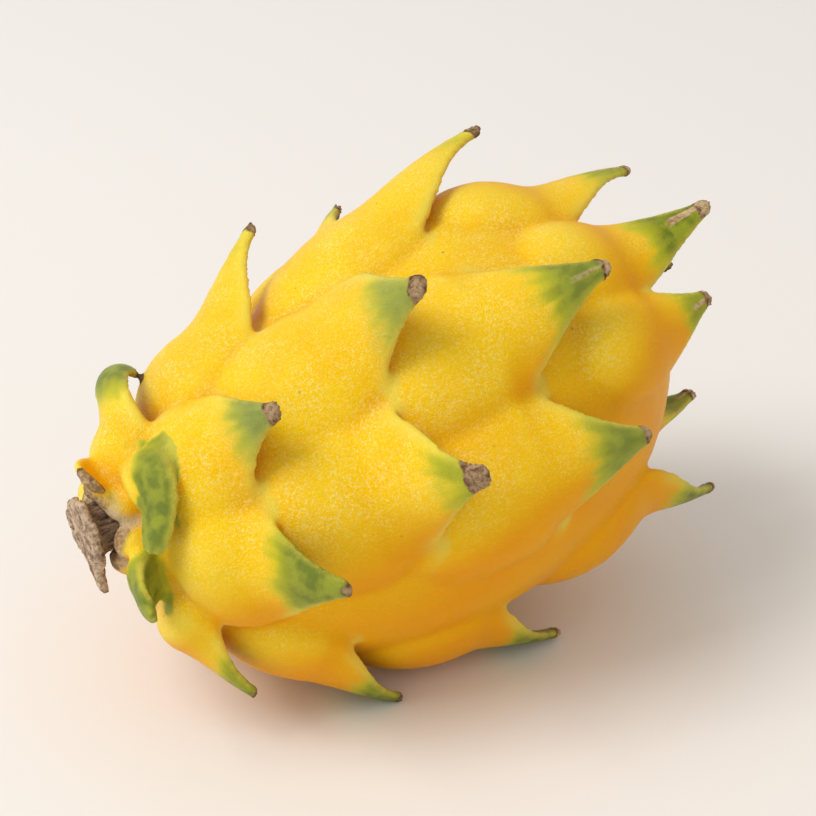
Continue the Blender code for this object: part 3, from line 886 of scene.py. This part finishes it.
def leaf_colours(paint, where, colour):
    """Lime and green leaf ends with a grey-green bloom and pale edges, over the rind's colour."""
    mottle = paint.noise(where, MOTTLE_SIZE)
    mask = paint.mask("green")
    streaks = paint.span(paint.mask("streak"), 0.3, 0.7, -0.10, 0.10)
    uneven = paint.sum(paint.span(mottle, 0.3, 0.7, -0.05, 0.05), streaks)
    green = paint.sum(mask, paint.product(uneven, paint.span(mask, 0.0, 0.2)))
    colour = paint.mix(paint.span(green, 0.0, 0.62), colour, LIME)
    leaf = paint.mix(paint.span(mottle, 0.35, 0.65), LEAF_GREEN, OLIVE_GREEN)
    colour = paint.mix(paint.span(green, 0.28, 0.95), colour, leaf)
    colour = paint.mix(paint.product(paint.mask("blue"), 0.55), colour, GREY_GREEN)
    return paint.mix(paint.product(paint.mask("edge"), 0.65), colour, EDGE_YELLOW)


def dried_colours(paint, pores, colour):
    """Dried leaf ends, strips, stem collar and blossom scar, over the rind's colour."""
    fibres = paint.sum(paint.product(pores, 0.5), paint.product(paint.mask("streak"), 0.5))
    tan = paint.mix(paint.span(fibres, 0.38, 0.60), *DRY_TAN)
    brown = paint.mix(paint.span(fibres, 0.42, 0.62), *DRY_BROWN)
    pale = paint.span(paint.mask("pale"), 0.2, 0.9, 0.25, 0.9)
    bleached = paint.product(paint.span(paint.mask("dry"), 0.70, 0.95), pale)
    tips = paint.mix(bleached, brown, tan)
    colour = paint.mix(paint.span(paint.mask("strip"), 0.25, 0.6), colour, tan)
    colour = paint.mix(paint.span(paint.mask("dry"), 0.25, 0.65), colour, tips)
    colour = paint.mix(paint.span(paint.mask("collar"), 0.2, 0.8), colour, tan)

    petals = paint.sum(paint.product(pores, 0.45), paint.product(paint.mask("folds"), 0.55))
    husk = paint.mix(paint.span(petals, 0.36, 0.62), *HUSK)
    scar = paint.mix(paint.span(petals, 0.40, 0.66), *SCAR)
    scar = paint.mix(paint.mask("pit"), husk, scar)
    return paint.mix(paint.span(paint.mask("crater"), 0.2, 0.8), colour, scar)


def rind_material():
    """Waxy yellow rind with green leaf ends; its dried parts are dull and crumpled."""
    paint = Paint("rind")
    where = paint.place()
    pores = paint.noise(where, PORE_SIZE, 3.0, 0.6)
    net = paint.span(paint.cells(where, NET_SIZE, "DISTANCE_TO_EDGE"), 0.14, 0.02)
    colour = rind_yellow(paint, where, pores, net)
    colour = leaf_colours(paint, where, colour)
    colour = dried_colours(paint, pores, colour)
    paint.give("Base Color", colour)

    dull = paint.mask("dry")
    for name in ("strip", "crater", "collar"):
        dull = paint.math("MAXIMUM", dull, paint.mask(name))
    paint.give("Roughness", paint.sum(paint.span(pores, 0.3, 0.7, 0.36, 0.46), paint.product(dull, 0.40)))
    waxy = paint.bump(paint.math("SUBTRACT", pores, paint.product(net, 0.5)), 0.10)
    crumple = paint.product(paint.noise(where, PORE_SIZE, 4.0, 0.7), dull)
    paint.give("Normal", paint.bump(crumple, 0.35, waxy))
    paint.give("Subsurface Weight", paint.math("SUBTRACT", 0.30, paint.product(dull, 0.30)))
    paint.give("Subsurface Radius", (1.0, 0.45, 0.06))
    paint.give("Subsurface Scale", 2.5 * MM)
    paint.give("Specular IOR Level", 0.17)
    paint.give("Specular Tint", (1.0, 0.80, 0.25))
    return paint.material


def stem_material():
    """Dry, torn, grey-brown wood with darker fibres on the neck."""
    paint = Paint("dry_stem")
    where = paint.place()
    fibre = paint.noise(paint.place((0.35, 1.6, 1.6)), 1.2, 4.0, 0.7)
    flakes = paint.noise(where, 1.5, 4.0, 0.65)
    neck = paint.mix(paint.span(fibre, 0.35, 0.65), *NECK_WOOD)
    face = paint.mix(paint.span(flakes, 0.36, 0.64), *PLATE_WOOD)
    pits = paint.span(paint.cells(where, 1.7), 0.30, 0.12)
    colour = paint.mix(paint.mask("plate"), neck, face)
    paint.give("Base Color", paint.mix(paint.product(pits, 0.5), colour, PIT_BROWN))
    paint.give("Roughness", 0.88)
    height = paint.math("SUBTRACT", paint.sum(fibre, flakes), pits)
    paint.give("Normal", paint.bump(height, 0.45))
    return paint.material


def plain_material(name, colour, roughness):
    """Even material of the studio."""
    paint = Paint(name)
    paint.give("Base Color", colour)
    paint.give("Roughness", roughness)
    paint.give("Specular IOR Level", 0.2)
    return paint.material


# ---------------------------------------------------------------- studio

def camera_frame():
    """Unit vectors from the fruit to the camera and to the camera's right."""
    azimuth = math.radians(CAMERA_AZIMUTH)
    elevation = math.radians(CAMERA_ELEVATION)
    level = math.cos(elevation)
    back = Vector((math.sin(azimuth) * level, -math.cos(azimuth) * level, math.sin(elevation)))
    right = Vector((math.cos(azimuth), math.sin(azimuth), 0.0))
    return back, right


def add_camera(aim):
    """Camera at the viewing angle, looking at the aim."""
    back, _ = camera_frame()
    lens = bpy.data.cameras.new("camera")
    lens.lens = CAMERA_LENS
    lens.sensor_width = SENSOR_WIDTH
    lens.clip_start = 0.01
    camera = bpy.data.objects.new("camera", lens)
    bpy.context.scene.collection.objects.link(camera)
    camera.location = aim + back * CAMERA_DISTANCE * MM
    camera.rotation_euler = back.to_track_quat("Z", "Y").to_euler()
    bpy.context.scene.camera = camera


def add_softbox(name, aim, offset, size, energy, colour):
    """Square area light that faces the fruit."""
    light = bpy.data.lights.new(name, "AREA")
    light.size = size
    light.energy = energy
    light.color = colour
    lamp = bpy.data.objects.new(name, light)
    bpy.context.scene.collection.objects.link(lamp)
    lamp.location = aim + offset
    lamp.rotation_euler = offset.to_track_quat("Z", "Y").to_euler()


def add_studio(aim):
    """Pale floor, soft key light from the upper left and pale surroundings."""
    floor = bmesh.new()
    bmesh.ops.create_grid(floor, x_segments=1, y_segments=1, size=FLOOR_HALF_SIDE)
    ground = mesh_object("studio_floor", floor)
    ground.data.materials.append(plain_material("studio_paper", FLOOR_COLOUR, 0.9))
    back, right = camera_frame()
    flat_back = Vector((back.x, back.y, 0.0)).normalized()
    key = -right * KEY_LEFT + flat_back * KEY_NEARER + Vector((0.0, 0.0, KEY_RISE))
    add_softbox("key_light", aim, key, KEY_SIDE, KEY_POWER, KEY_COLOUR)
    world = bpy.data.worlds.new("studio")
    bpy.context.scene.world = world
    world.use_nodes = True
    sky = world.node_tree.nodes["Background"]
    sky.inputs["Color"].default_value = SKY_COLOUR
    sky.inputs["Strength"].default_value = SKY_STRENGTH


# ---------------------------------------------------------------- scene

def centre_over(lowest, highest, points):
    """Shift in x and y that centres settled points in a box."""
    middle = (points.min(axis=0) + points.max(axis=0)) / 2
    return [(lowest[axis] + highest[axis]) / 2 - middle[axis] for axis in (0, 1)]


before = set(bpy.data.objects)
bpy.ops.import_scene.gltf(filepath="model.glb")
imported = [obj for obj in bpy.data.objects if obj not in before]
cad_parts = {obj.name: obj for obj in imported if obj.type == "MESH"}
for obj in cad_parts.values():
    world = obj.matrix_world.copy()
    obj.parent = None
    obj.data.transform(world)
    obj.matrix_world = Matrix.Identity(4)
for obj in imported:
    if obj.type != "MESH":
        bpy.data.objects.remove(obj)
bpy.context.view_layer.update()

skin = grown_skin()
body_points = settle(read_points(skin.data), (0.0, 0.0))
shift = centre_over(*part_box("fruit"), body_points)
finish_skin(skin)
write_points(skin.data, settle(read_points(skin.data), shift))
skin.data.shade_smooth()
skin.data.materials.append(rind_material())
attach(skin, "root")
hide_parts("fruit")

stem = build_stem()
write_points(stem.data, settle(read_points(stem.data), shift))
stem.data.shade_smooth()
stem.data.materials.append(stem_material())
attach(stem, "root")
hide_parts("stem")

aim_point = Vector((shift[0] + CAMERA_AIM_AHEAD * MM, shift[1], CAMERA_AIM_HEIGHT * MM))
add_camera(aim_point)
add_studio(aim_point)
bpy.context.scene.view_settings.view_transform = "Standard"
